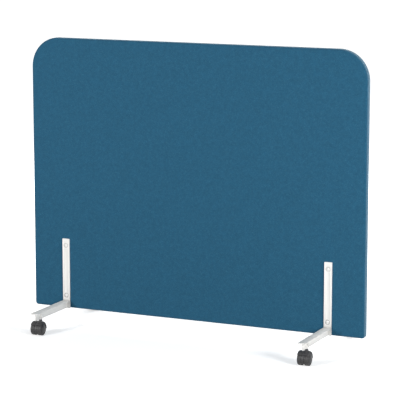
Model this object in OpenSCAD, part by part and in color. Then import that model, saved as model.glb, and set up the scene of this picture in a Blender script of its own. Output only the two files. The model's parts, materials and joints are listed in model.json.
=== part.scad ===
// Rolling room partition: a padded, cloth-covered panel with rounded top corners, held between
// two pairs of T-section steel feet on twin-wheel swivel casters.
// The origin is on the floor under the panel's centre. +X runs along the panel's width, the front
// faces -Y and +Z is up.

/* [Panel] */
// Width of the covered panel
panel_w = 1400; // [1200:10:1800]
// Height of the covered panel
panel_h = 1075; // [700:5:1500]
// Thickness of the covered panel
panel_t = 30; // [28:1:36]
// Height of the panel's lower edge above the floor
ground_gap = 60; // [60:1:66]
// Radius of the two upper corners
top_corner_r = 116; // [80:1:180]
// Radius of the two lower corners
low_corner_r = 12; // [10:0.5:16]
// Rounding of the padded edge, front and back
edge_r = 8; // [6:0.5:9]

/* [Panel inside] */
// Thickness of the cloth cover
cover_t = 1.2; // [0.8:0.1:1.5]
// Thickness of the timber frame and of the wool board in it
frame_t = 18; // [16:1:20]
// Width of the stiles, the top rail and the corner blocks
frame_w = 45; // [40:1:60]
// Height of the lower rail
low_rail_h = 30; // [26:1:34]
// Width of the timber block behind each pair of feet
fixing_block_w = 90; // [60:1:110]
// Height of the timber block behind each pair of feet
fixing_block_h = 270; // [250:1:320]
// Diameter of the dowels that join the timber frame
dowel_d = 8; // [6:1:8]
// Length of the dowels
dowel_l = 50; // [40:1:60]

/* [Feet] */
// Distance of each pair of feet from the panel's middle
foot_x = 555; // [300:1:570]
// Reach of a foot's arm from the panel's face
arm_reach = 268; // [240:1:320]
// Width of the upright and of the arm's flange
bar_w = 30; // [28:1:36]
// Height of the T-section arm
arm_h = 30; // [28:1:34]
// Thickness of the arm's flange and web
arm_t = 4; // [3:0.5:5]
// How far the web stops short of the flange's tip
web_setback = 12; // [8:1:16]
// Thickness of the upright
upright_t = 5; // [4:0.5:6]
// Height of the upright
upright_h = 280; // [270:1:290]
// Height of the lower bolt above the panel's lower edge
low_bolt_h = 51; // [48:1:56]
// Height of the upper bolt above the panel's lower edge
high_bolt_h = 253; // [240:1:256]
// Width of the shallow groove between the bolts
groove_w = 14.5; // [8:0.5:18]
// Depth of the groove
groove_depth = 2; // [0.5:0.1:2.5]
// Diameter of the bolt heads
bolt_head_d = 12.5; // [12:0.5:14]
// Diameter of the round seat that each bolt head is sunk in
seat_d = 19; // [17:0.5:20]
// Depth of the seats
seat_depth = 2; // [1:0.25:2]

/* [Casters] */
// Diameter of the wheels
wheel_d = 50; // [49:0.5:50]
// Half the gap between the two wheels of a caster
wheel_gap = 5.5; // [5.4:0.1:6]
// Half the width over both treads
tread_half = 21.5; // [20:0.5:22]
// Half the width over both domed wheel sides
dome_half = 26.5; // [26:0.5:28]
// Distance from the swivel axis back to the axle
trail = 18; // [18:0.5:19]
// Distance from the arm's tip to the swivel axis
stem_inset = 52; // [28:1:60]
// Diameter of the stem's threaded end
stem_d = 10; // [8:1:10]
// Diameter of the axle
axle_d = 6; // [5:1:6]

/* [Hidden] */
$fn = 64;
half_w = panel_w / 2;
panel_top = ground_gap + panel_h;
face_y = panel_t / 2;
corner_x = half_w - top_corner_r;
corner_z = panel_top - top_corner_r;
low_x = half_w - low_corner_r;
low_z = ground_gap + low_corner_r;
seam_lap = 1;             // how far a hollow is cut past the seam
cut = 1;                  // how far a cutting shape runs past what it cuts
fit_gap = 0.05;           // radial clearance of a pin in its bore
turn_gap = 0.3;           // clearance between faces that turn on each other
end_play = 0.5;           // clearance at the end of a pin

frame_inset = cover_t + 0.4;
frame_half = half_w - frame_inset;
frame_low = ground_gap + frame_inset;
frame_top = panel_top - frame_inset;
frame_corner_r = top_corner_r - frame_inset;
frame_low_r = low_corner_r - frame_inset;
field_r = frame_corner_r - frame_w;
field_half = frame_half - frame_w;
rail_top = frame_low + low_rail_h;
dowel_pitch = 18;
rail_dowel_pitch = 15;

low_bolt_z = ground_gap + low_bolt_h;
high_bolt_z = ground_gap + high_bolt_h;
foot_y = face_y + upright_t;
arm_tip = face_y + arm_reach;
arm_top = ground_gap + arm_h;
bar_corner_r = 2;
root_r = 3;               // fillet between the web and the flange
groove_start = 13;        // from a bolt's centre to the groove's end
boss_d = 16;
boss_cap = 2;             // metal left between the stem and the flange
bolt_hole_d = 9.6;
barrel_d = 9;
shank_d = 6;
shank_l = 22;
thread_gap = 0.05;
barrel_short = 1.5;       // from the barrel's end to the far bolt head's seat
barrel_bore_l = 23;
head_h = 2.8;
head_edge = 0.8;
socket_d = 5;
socket_depth = 1.6;
head_rise = head_h - head_edge;
head_dome_r = (bolt_head_d * bolt_head_d / 4 + head_rise * head_rise) / (2 * head_rise);

stem_y = arm_tip - stem_inset;
wheel_r = wheel_d / 2;
tyre_t = 4;
tyre_edge_r = 3;
rim_r = wheel_r - tyre_t - fit_gap;
dome_rise = 6;
dome_r = (rim_r * rim_r + dome_rise * dome_rise) / (2 * dome_rise);
bore_end = 20;
hub_r = 7;
cup_r = 17.5;
cup_floor = 17;
rib_t = 1.6;
rib_count = 6;
ring_in_r = 15.6;
ring_out_r = 17;
ring_floor = dome_half - 4.4;
hood_r = wheel_r + 5.5;
crown_r = 30;             // the rounding of the hood's crown over each wheel
crown_x = 11;             // from the caster's middle to the top of each crown
room_r = wheel_r + 1.2;
hood_start = 5;           // degrees that the hood runs below the axle on the stem's side
hood_sweep = 145;
web_half = wheel_gap - 0.6;
web_disc_r = 21;
web_low = 8;              // height of the web's flat lower edge above the floor
neck_top = ground_gap - 1.9;
neck_top_r = 6.2;
neck_foot_r = 9.2;
neck_foot_z = wheel_r + 19;
hub_low = wheel_r + 5;
pin_d = 7;
pin_low = wheel_r + 11.5;
collar_d = 13;

timber = [0.80, 0.66, 0.46];
wool = [0.72, 0.72, 0.66];
felt_grey = [0.60, 0.61, 0.62];
cloth_blue = [0.18, 0.38, 0.49];
paint_white = [0.93, 0.93, 0.92];
steel_grey = [0.60, 0.61, 0.63];
hood_grey = [0.23, 0.23, 0.24];
tyre_grey = [0.19, 0.19, 0.20];

// Stands an outline drawn in X and Z upright and gives it a thickness from y towards -Y.
module standing(y, thickness) {
    translate([0, y, 0])
        rotate([90, 0, 0])
            linear_extrude(height = thickness)
                children();
}

// A rod along Y from y_from up to y_to, at a place in X and Z.
module rod_y(x, z, r, y_from, y_to) {
    translate([x, y_to, z])
        rotate([90, 0, 0])
            cylinder(r = r, h = y_to - y_from);
}

// Holes for the four sleeve nuts, right through the panel.
module bolt_holes() {
    for (x = [-foot_x, foot_x])
        for (z = [low_bolt_z, high_bolt_z])
            rod_y(x, z, bolt_hole_d / 2, -panel_t, panel_t);
}

// Places what is drawn at X = 0 on the left (side -1) or the right (side 1), reaching to the
// front (turned 0) or to the rear (turned 180).
module at_foot(side, turned) {
    translate([side * foot_x, 0, 0])
        rotate([0, 0, turned])
            children();
}

// The same for a caster, which is drawn round its swivel axis and trails towards -Y.
module at_caster(side, turned) {
    at_foot(side, turned)
        translate([0, -stem_y, 0])
            children();
}

// Cross-section of a half of the padded panel, from the middle of its sweep out to its edge:
// x runs outward and y from the seam to the face.
module half_section(reach, inset, lap) {
    depth = face_y - inset;
    round_r = edge_r - inset;
    translate([0, -lap])
        square([reach - round_r, depth + lap]);
    translate([0, -lap])
        square([reach, depth - round_r + lap]);
    intersection() {
        translate([reach - round_r, depth - round_r])
            circle(r = round_r);
        square([reach, depth]);
    }
}

// The front half of the padded panel, with every face drawn in by inset.
module padded_half(inset, lap) {
    top_r = top_corner_r - inset;
    low_r = low_corner_r - inset;
    // between the lower and the upper corners
    for (side = [0, 1])
        mirror([side, 0, 0])
            translate([0, 0, low_z])
                linear_extrude(height = corner_z - low_z)
                    mirror([0, 1])
                        half_section(half_w - inset, inset, lap);
    // the band along the top edge
    translate([-corner_x, 0, corner_z])
        rotate([180, -90, 0])
            linear_extrude(height = 2 * corner_x)
                half_section(top_r, inset, lap);
    // the band along the bottom edge
    translate([low_x, 0, low_z])
        rotate([180, 90, 0])
            linear_extrude(height = 2 * low_x)
                half_section(low_r, inset, lap);
    // the corners, each a quarter turn
    for (side = [0, 1])
        mirror([side, 0, 0]) {
            translate([corner_x, 0, corner_z])
                rotate([90, 0, 0])
                    rotate_extrude(angle = 90)
                        half_section(top_r, inset, lap);
            translate([low_x, 0, low_z])
                rotate([90, 90, 0])
                    rotate_extrude(angle = 90)
                        half_section(low_r, inset, lap);
        }
}

// The cloth over the front half of the panel; the seam with the rear half runs round mid-edge.
module cover() {
    color(cloth_blue)
        difference() {
            padded_half(0, 0);
            padded_half(cover_t, seam_lap);
            bolt_holes();
        }
}

// The sheet of felt between the cloth and the frame.
module felt() {
    color(felt_grey)
        difference() {
            intersection() {
                padded_half(cover_t, 0);
                translate([-half_w, -face_y, 0])
                    cube([panel_w, face_y - frame_t / 2, panel_top]);
            }
            bolt_holes();
        }
}

module front_half() {
    children();
}

module rear_half() {
    mirror([0, 1, 0])
        children();
}

// Dowels, or with a larger radius their holes, for the three joints on one side of the frame.
module side_dowels(side, r, l) {
    mirror([side < 0 ? 1 : 0, 0, 0]) {
        for (step = [-0.5, 0.5]) {
            // stile to corner block
            translate([frame_half - frame_w / 2 + step * dowel_pitch, 0, corner_z - l / 2])
                cylinder(r = r, h = l);
            // corner block to top rail
            translate([corner_x - l / 2, 0, frame_top - frame_w / 2 + step * dowel_pitch])
                rotate([0, 90, 0])
                    cylinder(r = r, h = l);
            // bottom rail to stile
            translate([field_half - l / 2, 0, frame_low + low_rail_h / 2 + step * rail_dowel_pitch])
                rotate([0, 90, 0])
                    cylinder(r = r, h = l);
        }
    }
}

module dowel_holes(side) {
    side_dowels(side, dowel_d / 2 + fit_gap, dowel_l + 2 * end_play);
}

module frame_dowels() {
    color(timber)
        for (side = [-1, 1])
            side_dowels(side, dowel_d / 2, dowel_l);
}

// A side member of the timber frame, with its lower outer corner rounded.
module stile(side) {
    color(timber)
        difference() {
            mirror([side < 0 ? 1 : 0, 0, 0])
                standing(frame_t / 2, frame_t) {
                    translate([field_half, frame_low])
                        square([frame_w - frame_low_r, frame_low_r]);
                    translate([field_half, frame_low + frame_low_r])
                        square([frame_w, corner_z - frame_low - frame_low_r]);
                    intersection() {
                        translate([frame_half - frame_low_r, frame_low + frame_low_r])
                            circle(r = frame_low_r);
                        translate([frame_half - frame_low_r, frame_low])
                            square([frame_low_r, frame_low_r]);
                    }
                }
            dowel_holes(side);
        }
}

// The curved block that joins a stile to the top rail.
module corner_block(side) {
    color(timber)
        difference() {
            mirror([side < 0 ? 1 : 0, 0, 0])
                translate([corner_x, 0, corner_z])
                    standing(frame_t / 2, frame_t)
                        intersection() {
                            difference() {
                                circle(r = frame_corner_r);
                                circle(r = field_r);
                            }
                            square(frame_corner_r);
                        }
            dowel_holes(side);
        }
}

module top_rail() {
    color(timber)
        difference() {
            translate([-corner_x, -frame_t / 2, frame_top - frame_w])
                cube([2 * corner_x, frame_t, frame_w]);
            dowel_holes(-1);
            dowel_holes(1);
        }
}

module bottom_rail() {
    color(timber)
        difference() {
            translate([-field_half, -frame_t / 2, frame_low])
                cube([2 * field_half, frame_t, low_rail_h]);
            dowel_holes(-1);
            dowel_holes(1);
        }
}

// The solid timber that a pair of feet is clamped against.
module fixing_block(side) {
    color(timber)
        difference() {
            translate([side * foot_x - fixing_block_w / 2, -frame_t / 2, rail_top])
                cube([fixing_block_w, frame_t, fixing_block_h]);
            bolt_holes();
        }
}

// The sound-absorbing board that fills the frame round the fixing blocks.
module wool_core() {
    color(wool)
        standing(frame_t / 2, frame_t)
            difference() {
                union() {
                    translate([-field_half, rail_top])
                        square([2 * field_half, corner_z - rail_top]);
                    translate([-corner_x, corner_z])
                        square([2 * corner_x, field_r]);
                    for (side = [-1, 1])
                        translate([side * corner_x, corner_z])
                            circle(r = field_r);
                }
                for (side = [-1, 1])
                    translate([side * foot_x - fixing_block_w / 2, rail_top])
                        square([fixing_block_w, fixing_block_h]);
            }
}

// Outline of the upright, with its two upper corners rounded.
module upright_outline() {
    high = ground_gap + upright_h;
    translate([-bar_w / 2, ground_gap])
        square([bar_w, upright_h - bar_corner_r]);
    translate([-bar_w / 2 + bar_corner_r, ground_gap])
        square([bar_w - 2 * bar_corner_r, upright_h]);
    for (side = [-1, 1])
        translate([side * (bar_w / 2 - bar_corner_r), high - bar_corner_r])
            circle(r = bar_corner_r);
}

// Outline of the round-ended groove between the two bolts.
module groove_outline() {
    r = groove_w / 2;
    low = low_bolt_z + groove_start + r;
    high = high_bolt_z - groove_start - r;
    translate([-r, low])
        square([groove_w, high - low]);
    for (z = [low, high])
        translate([0, z])
            circle(r = r);
}

module upright() {
    difference() {
        standing(-face_y, upright_t)
            upright_outline();
        standing(groove_depth - foot_y, groove_depth + cut)
            groove_outline();
        for (z = [low_bolt_z, high_bolt_z]) {
            rod_y(0, z, bolt_hole_d / 2, -foot_y - cut, 0);
            rod_y(0, z, seat_d / 2, -foot_y - cut, seat_depth - foot_y);
        }
    }
}

// Section of the web with the fillets that run up into the flange.
module web_section() {
    translate([-arm_t / 2, ground_gap])
        square([arm_t, arm_h - arm_t / 2]);
    for (side = [-1, 1])
        difference() {
            translate([side * (arm_t + root_r) / 2, arm_top - arm_t - root_r / 2])
                square([root_r, root_r], center = true);
            translate([side * (arm_t / 2 + root_r), arm_top - arm_t - root_r])
                circle(r = root_r);
        }
}

// The flange seen from above, with its tip's corners rounded.
module flange_outline() {
    translate([-bar_w / 2, bar_corner_r - arm_tip])
        square([bar_w, arm_tip - foot_y - bar_corner_r]);
    translate([-bar_w / 2 + bar_corner_r, -arm_tip])
        square([bar_w - 2 * bar_corner_r, arm_tip - foot_y]);
    for (side = [-1, 1])
        translate([side * (bar_w / 2 - bar_corner_r), bar_corner_r - arm_tip])
            circle(r = bar_corner_r);
}

// One welded foot: the upright, the T-section arm and the boss that takes the caster's stem.
module foot(side, turned) {
    color(paint_white)
        at_foot(side, turned) {
            upright();
            difference() {
                union() {
                    translate([0, 0, arm_top - arm_t])
                        linear_extrude(height = arm_t)
                            flange_outline();
                    standing(-foot_y, arm_tip - foot_y - web_setback)
                        web_section();
                    translate([0, -stem_y, ground_gap])
                        cylinder(d = boss_d, h = arm_h - arm_t / 2);
                }
                translate([0, -stem_y, ground_gap - cut])
                    cylinder(d = stem_d + 2 * fit_gap, h = arm_h - arm_t - boss_cap + cut);
            }
        }
}

// Domed head with a hex socket, seated on z = 0 and facing +Z.
module bolt_head() {
    difference() {
        rotate_extrude()
            intersection() {
                translate([0, head_h - head_dome_r])
                    circle(r = head_dome_r);
                square([bolt_head_d / 2, head_h]);
            }
        translate([0, 0, head_h - socket_depth])
            cylinder(d = socket_d, h = socket_depth + cut, $fn = 6);
    }
}

// The two screws of a pair of feet, put in from the front.
module foot_screws(side) {
    color(paint_white)
        for (z = [low_bolt_z, high_bolt_z])
            translate([side * foot_x, seat_depth - foot_y, z])
                rotate([90, 0, 0]) {
                    bolt_head();
                    translate([0, 0, -shank_l])
                        cylinder(d = shank_d, h = shank_l + head_edge / 2);
                }
}

// The two sleeve nuts of a pair of feet, put in from the rear.
module sleeve_nuts(side) {
    barrel_l = 2 * (foot_y - seat_depth) - barrel_short;
    color(paint_white)
        for (z = [low_bolt_z, high_bolt_z])
            translate([side * foot_x, foot_y - seat_depth, z])
                rotate([-90, 0, 0]) {
                    bolt_head();
                    difference() {
                        translate([0, 0, -barrel_l])
                            cylinder(d = barrel_d, h = barrel_l + head_edge / 2);
                        translate([0, 0, -barrel_l - cut])
                            cylinder(d = shank_d + 2 * thread_gap, h = barrel_bore_l + cut);
                    }
                }
}

// Caster stem: the threaded end in the boss, the collar under it and the swivel pin.
module stem(side, turned) {
    collar_z = neck_top + turn_gap;
    stem_top = arm_top - arm_t - boss_cap - cut;
    color(steel_grey)
        at_caster(side, turned) {
            translate([0, 0, collar_z])
                cylinder(d = collar_d, h = ground_gap - collar_z);
            translate([0, 0, collar_z])
                cylinder(d = stem_d, h = stem_top - collar_z);
            translate([0, 0, pin_low])
                cylinder(d = pin_d, h = ground_gap - pin_low);
        }
}

// Turns a shape drawn round Z so that it is round the axle, which runs along X.
module on_axle() {
    translate([0, -trail, wheel_r])
        rotate([0, 90, 0])
            children();
}

// Side view of the web between the wheels: a disc round the axle with a flat lower edge.
module web_plate() {
    intersection() {
        circle(r = web_disc_r);
        translate([-web_disc_r, -web_disc_r])
            square([web_disc_r + wheel_r - web_low, 2 * web_disc_r]);
    }
}

// The moulded hood: a crowned fender over each wheel, the web between them and the neck.
module hood(side, turned) {
    color(hood_grey)
        at_caster(side, turned)
            difference() {
                union() {
                    difference() {
                        union() {
                            on_axle()
                                rotate([0, 0, 90 - hood_start])
                                    rotate_extrude(angle = hood_sweep)
                                        intersection() {
                                            for (way = [-1, 1])
                                                translate([hood_r - crown_r, way * crown_x])
                                                    circle(r = crown_r);
                                            translate([0, -tread_half])
                                                square([hood_r, 2 * tread_half]);
                                        }
                            translate([0, 0, hub_low])
                                cylinder(r = neck_foot_r, h = neck_foot_z - hub_low);
                            translate([0, 0, neck_foot_z])
                                cylinder(r1 = neck_foot_r, r2 = neck_top_r, h = neck_top - neck_foot_z);
                        }
                        for (way = [-1, 1])
                            on_axle()
                                translate([0, 0, way * (web_half + hood_r / 2)])
                                    cylinder(r = room_r, h = hood_r, center = true);
                    }
                    on_axle()
                        linear_extrude(height = 2 * web_half, center = true)
                            web_plate();
                }
                on_axle()
                    cylinder(d = axle_d + 2 * fit_gap, h = 4 * web_half, center = true);
                translate([0, 0, pin_low - end_play])
                    cylinder(d = pin_d + 2 * fit_gap, h = ground_gap - pin_low + end_play);
            }
}

module axle(side, turned) {
    color(steel_grey)
        at_caster(side, turned)
            on_axle()
                cylinder(d = axle_d, h = 2 * (bore_end - end_play), center = true);
}

// Half-section of a wheel: radius in x, distance from the caster's middle in y.
module wheel_section() {
    difference() {
        intersection() {
            translate([0, dome_half - dome_r])
                circle(r = dome_r, $fn = 128);
            translate([0, wheel_gap])
                square([rim_r, dome_half - wheel_gap]);
        }
        // the cup on the inner side
        translate([hub_r, 0])
            square([cup_r - hub_r, cup_floor]);
        // the ring round the domed cap
        translate([ring_in_r, ring_floor])
            square([ring_out_r - ring_in_r, dome_half]);
    }
}

// A cup-shaped wheel with a domed side; way is 1 for +X and -1 for -X of the caster.
module wheel(side, turned, way) {
    color(hood_grey)
        at_caster(side, turned)
            on_axle()
                mirror([0, 0, way < 0 ? 1 : 0])
                    difference() {
                        union() {
                            rotate_extrude()
                                wheel_section();
                            for (i = [0 : rib_count - 1])
                                rotate([0, 0, i * 360 / rib_count])
                                    translate([hub_r - cut, -rib_t / 2, wheel_gap + cut])
                                        cube([cup_r - hub_r + 2 * cut, rib_t, cup_floor - wheel_gap]);
                        }
                        cylinder(d = axle_d + 2 * fit_gap, h = bore_end);
                    }
}

// The soft tread on a wheel's rim.
module tyre(side, turned, way) {
    inner_r = wheel_r - tyre_t;
    tyre_w = tread_half - wheel_gap;
    color(tyre_grey)
        at_caster(side, turned)
            on_axle()
                mirror([0, 0, way < 0 ? 1 : 0])
                    rotate_extrude()
                        translate([inner_r, wheel_gap]) {
                            square([tyre_t - tyre_edge_r, tyre_w]);
                            translate([0, tyre_edge_r])
                                square([tyre_t, tyre_w - 2 * tyre_edge_r]);
                            intersection() {
                                for (y = [tyre_edge_r, tyre_w - tyre_edge_r])
                                    translate([tyre_t - tyre_edge_r, y])
                                        circle(r = tyre_edge_r);
                                square([tyre_t, tyre_w]);
                            }
                        }
}

stile(-1);  // left_stile
stile(1);  // right_stile
top_rail();
bottom_rail();
corner_block(-1);  // left_corner_block
corner_block(1);  // right_corner_block
fixing_block(-1);  // left_fixing_block
fixing_block(1);  // right_fixing_block
frame_dowels();
wool_core();
front_half() felt();  // front_felt
rear_half() felt();  // rear_felt
front_half() cover();  // front_cover
rear_half() cover();  // rear_cover
foot(-1, 0);  // front_left_foot
foot(1, 0);  // front_right_foot
foot(-1, 180);  // rear_left_foot
foot(1, 180);  // rear_right_foot
foot_screws(-1);  // left_foot_screws
foot_screws(1);  // right_foot_screws
sleeve_nuts(-1);  // left_sleeve_nuts
sleeve_nuts(1);  // right_sleeve_nuts
stem(-1, 0);  // front_left_stem
stem(1, 0);  // front_right_stem
stem(-1, 180);  // rear_left_stem
stem(1, 180);  // rear_right_stem
hood(-1, 0);  // front_left_hood
hood(1, 0);  // front_right_hood
hood(-1, 180);  // rear_left_hood
hood(1, 180);  // rear_right_hood
axle(-1, 0);  // front_left_axle
axle(1, 0);  // front_right_axle
axle(-1, 180);  // rear_left_axle
axle(1, 180);  // rear_right_axle
wheel(-1, 0, -1);  // front_left_wheel_a
wheel(-1, 0, 1);  // front_left_wheel_b
wheel(1, 0, -1);  // front_right_wheel_a
wheel(1, 0, 1);  // front_right_wheel_b
wheel(-1, 180, -1);  // rear_left_wheel_a
wheel(-1, 180, 1);  // rear_left_wheel_b
wheel(1, 180, -1);  // rear_right_wheel_a
wheel(1, 180, 1);  // rear_right_wheel_b
tyre(-1, 0, -1);  // front_left_tyre_a
tyre(-1, 0, 1);  // front_left_tyre_b
tyre(1, 0, -1);  // front_right_tyre_a
tyre(1, 0, 1);  // front_right_tyre_b
tyre(-1, 180, -1);  // rear_left_tyre_a
tyre(-1, 180, 1);  // rear_left_tyre_b
tyre(1, 180, -1);  // rear_right_tyre_a
tyre(1, 180, 1);  // rear_right_tyre_b
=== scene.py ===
import json
import math

import bmesh
import bpy
from mathutils import Matrix, Vector, noise


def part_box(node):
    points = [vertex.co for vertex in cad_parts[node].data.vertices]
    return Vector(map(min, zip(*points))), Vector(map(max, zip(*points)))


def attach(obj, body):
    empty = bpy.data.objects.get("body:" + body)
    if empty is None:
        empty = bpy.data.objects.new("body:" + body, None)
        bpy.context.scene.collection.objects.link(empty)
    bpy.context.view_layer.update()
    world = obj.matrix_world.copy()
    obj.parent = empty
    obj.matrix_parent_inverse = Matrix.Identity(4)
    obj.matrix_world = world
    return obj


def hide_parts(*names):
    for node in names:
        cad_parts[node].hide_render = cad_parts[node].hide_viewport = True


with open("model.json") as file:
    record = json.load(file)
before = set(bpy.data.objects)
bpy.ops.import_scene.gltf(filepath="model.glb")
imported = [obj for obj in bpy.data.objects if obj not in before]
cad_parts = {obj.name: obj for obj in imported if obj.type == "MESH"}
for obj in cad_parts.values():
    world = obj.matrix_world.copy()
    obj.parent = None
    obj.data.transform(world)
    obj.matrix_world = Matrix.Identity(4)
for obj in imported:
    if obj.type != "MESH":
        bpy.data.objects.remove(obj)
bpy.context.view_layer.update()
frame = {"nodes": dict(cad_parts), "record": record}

# lengths are metres, in the CAD's own frame: X across the panel, front at -Y, floor at Z 0
scene = bpy.context.scene


def linkObject(name, data):
    made = bpy.data.objects.new(name, data)
    scene.collection.objects.link(made)
    return made


def addObject(name, verts, faces=(), edges=()):
    mesh = bpy.data.meshes.new(name)
    mesh.from_pydata([tuple(v) for v in verts], list(edges), list(faces))
    mesh.update()
    return linkObject(name, mesh)


def modify(piece, kind, **settings):
    modifier = piece.modifiers.new(kind.lower(), kind)
    for key, value in settings.items():
        setattr(modifier, key, value)
    return modifier


def makePlain(piece):  # the modifiers' result becomes the piece's own mesh
    bpy.context.view_layer.update()
    graph = bpy.context.evaluated_depsgraph_get()
    mesh = bpy.data.meshes.new_from_object(piece.evaluated_get(graph))
    piece.modifiers.clear()
    piece.data = mesh
    mesh.name = piece.name
    return piece


def shadeSmooth(piece, sharpAngle=None):
    piece.data.shade_smooth()
    if sharpAngle is not None:
        piece.data.set_sharp_from_angle(angle=math.radians(sharpAngle))
    return piece


def paint(piece, material):
    piece.data.materials.clear()
    piece.data.materials.append(material)
    return piece


def spread(start, stop, step):  # even steps from start to stop, both included
    count = max(1, round(abs(stop - start) / step))
    return [start + (stop - start) * i / count for i in range(count + 1)]


def smoothStep(value, low, high):
    t = min(1, max(0, (value - low) / (high - low)))
    return t * t * (3 - 2 * t)


# node trees are put together from these

def addNode(tree, kind, inputs=None, **settings):
    node = tree.nodes.new(kind)
    for key, value in settings.items():
        setattr(node, key, value)
    for key, value in (inputs or {}).items():
        feed(tree, node.inputs[key], value)
    return node


def feed(tree, socket, value):
    if isinstance(value, bpy.types.NodeSocket):
        tree.links.new(value, socket)
    else:
        socket.default_value = value


def nodeOut(tree, kind, inputs=None, **settings):
    return addNode(tree, kind, inputs, **settings).outputs[0]


def calc(tree, operation, *values, clamp=False):
    node = addNode(tree, "ShaderNodeMath", operation=operation, use_clamp=clamp)
    for socket, value in zip(node.inputs, values):
        feed(tree, socket, value)
    return node.outputs[0]


def remap(tree, value, fromLow, fromHigh, toLow, toHigh):
    return nodeOut(tree, "ShaderNodeMapRange", {
        "Value": value, "From Min": fromLow, "From Max": fromHigh,
        "To Min": toLow, "To Max": toHigh})


def mixColour(tree, factor, first, second, mode="MIX"):
    node = addNode(tree, "ShaderNodeMix", data_type="RGBA", blend_type=mode)
    sockets = node.inputs[0], node.inputs[6], node.inputs[7]  # the factor and the two colours
    for socket, value in zip(sockets, (factor, first, second)):
        feed(tree, socket, value)
    return node.outputs[2]


def mixValue(tree, factor, first, second):
    inputs = {0: factor, 2: first, 3: second}
    return nodeOut(tree, "ShaderNodeMix", inputs, data_type="FLOAT")


def noiseOf(tree, vector, scale, detail, rough):
    return nodeOut(tree, "ShaderNodeTexNoise", {
        "Vector": vector, "Scale": scale, "Detail": detail, "Roughness": rough})


def joinXyz(tree, x, y, z=0.0):
    return nodeOut(tree, "ShaderNodeCombineXYZ", {0: x, 1: y, 2: z})


def splitXyz(tree, vector):
    return addNode(tree, "ShaderNodeSeparateXYZ", {0: vector}).outputs


def lengthOf(tree, vector):
    node = addNode(tree, "ShaderNodeVectorMath", {0: vector}, operation="LENGTH")
    return node.outputs["Value"]


def objectPlace(tree):
    return addNode(tree, "ShaderNodeTexCoord").outputs["Object"]


def greyOf(tree, value):
    return joinXyz(tree, value, value, value)


socketKinds = {float: "Float", int: "Int", tuple: "Vector"}


def addSocket(group, way, label, value):  # value is the default, or a kind that needs none
    kind = value if isinstance(value, str) else socketKinds[type(value)]
    socket = group.interface.new_socket(label, in_out=way, socket_type="NodeSocket" + kind)
    if kind != value:
        socket.default_value = value


def openGroup(name, inputs, outputs, kind="ShaderNodeTree"):
    group = bpy.data.node_groups.new(name, kind)
    for label, value in inputs.items():
        addSocket(group, "INPUT", label, value)
    for label, value in outputs.items():
        addSocket(group, "OUTPUT", label, value)
    start, end = group.nodes.new("NodeGroupInput"), group.nodes.new("NodeGroupOutput")
    return group, start.outputs, end.inputs


def rgb(red, green, blue):  # screen values from 0 to 255 as linear colour
    def linear(value):
        value /= 255
        return value / 12.92 if value <= 0.04045 else ((value + 0.055) / 1.055) ** 2.4
    return (linear(red), linear(green), linear(blue), 1.0)


# plain weave on the piece's own UV map, in metres: height and tone of the yarns
yarnForm = {
    "sway": (0.34, 0.66),         # how far a yarn goes over and under, and its mean height
    "streak": (1.7, 0.16, 5.0),   # steps of its tone across, along and between the layers
    "noise": (1.0, 3.0, 0.65),    # scale, detail and roughness, here and below
}


def buildWeave():
    group, given, result = openGroup(
        "plainWeave", {"Pitch": 0.001, "Slub": 0.3}, {"Height": "Float", "Tone": "Float"})
    stepAcross, stepAlong, stepLayer = yarnForm["streak"]
    uv = splitXyz(group, nodeOut(group, "ShaderNodeUVMap", uv_map="cutUv"))
    u = calc(group, "DIVIDE", uv[0], given["Pitch"])
    v = calc(group, "DIVIDE", uv[1], given["Pitch"])
    yarns = []
    for across, along, shift in ((u, v, 0.0), (v, u, 1.0)):
        number = calc(group, "FLOOR", across)
        profile = calc(group, "MULTIPLY", calc(group, "FRACT", across), math.pi)
        profile = calc(group, "SINE", profile)
        wave = calc(group, "ADD", calc(group, "ADD", along, number), shift)
        wave = calc(group, "SINE", calc(group, "MULTIPLY", wave, math.pi))
        rise = calc(group, "MULTIPLY_ADD", wave, *yarnForm["sway"])
        streak = joinXyz(group, calc(group, "MULTIPLY", number, stepAcross),
                         calc(group, "MULTIPLY", along, stepAlong), stepLayer * shift)
        tone = noiseOf(group, streak, *yarnForm["noise"])
        uneven = calc(group, "SUBTRACT", tone, 0.5)
        uneven = calc(group, "MULTIPLY_ADD", uneven, given["Slub"], 1.0)
        height = calc(group, "MULTIPLY", calc(group, "MULTIPLY", profile, rise), uneven)
        yarns.append((height, tone))
    (warp, warpTone), (weft, weftTone) = yarns
    onTop = calc(group, "GREATER_THAN", warp, weft)
    feed(group, result["Height"], calc(group, "MAXIMUM", warp, weft))
    feed(group, result["Tone"], mixValue(group, onTop, weftTone, warpTone))
    return group


# soft clouding of a colour over larger areas
def buildMottle():
    group, given, result = openGroup("mottle", {"Size": 0.01, "Amount": 0.1}, {"Factor": "Float"})
    scale = calc(group, "DIVIDE", 1.0, given["Size"])
    cloud = noiseOf(group, objectPlace(group), scale, detail=3.0, rough=0.55)
    cloud = calc(group, "MULTIPLY", calc(group, "SUBTRACT", cloud, 0.5), 2.0)
    feed(group, result["Factor"], calc(group, "MULTIPLY_ADD", cloud, given["Amount"], 1.0))
    return group


# fine pebbled skin, as of powder coat or spark-eroded mould faces
skinForm = {"pebbles": (2.0, 0.6), "patches": (3.0, 0.6), "patchScale": 0.06}  # detail, roughness


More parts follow.
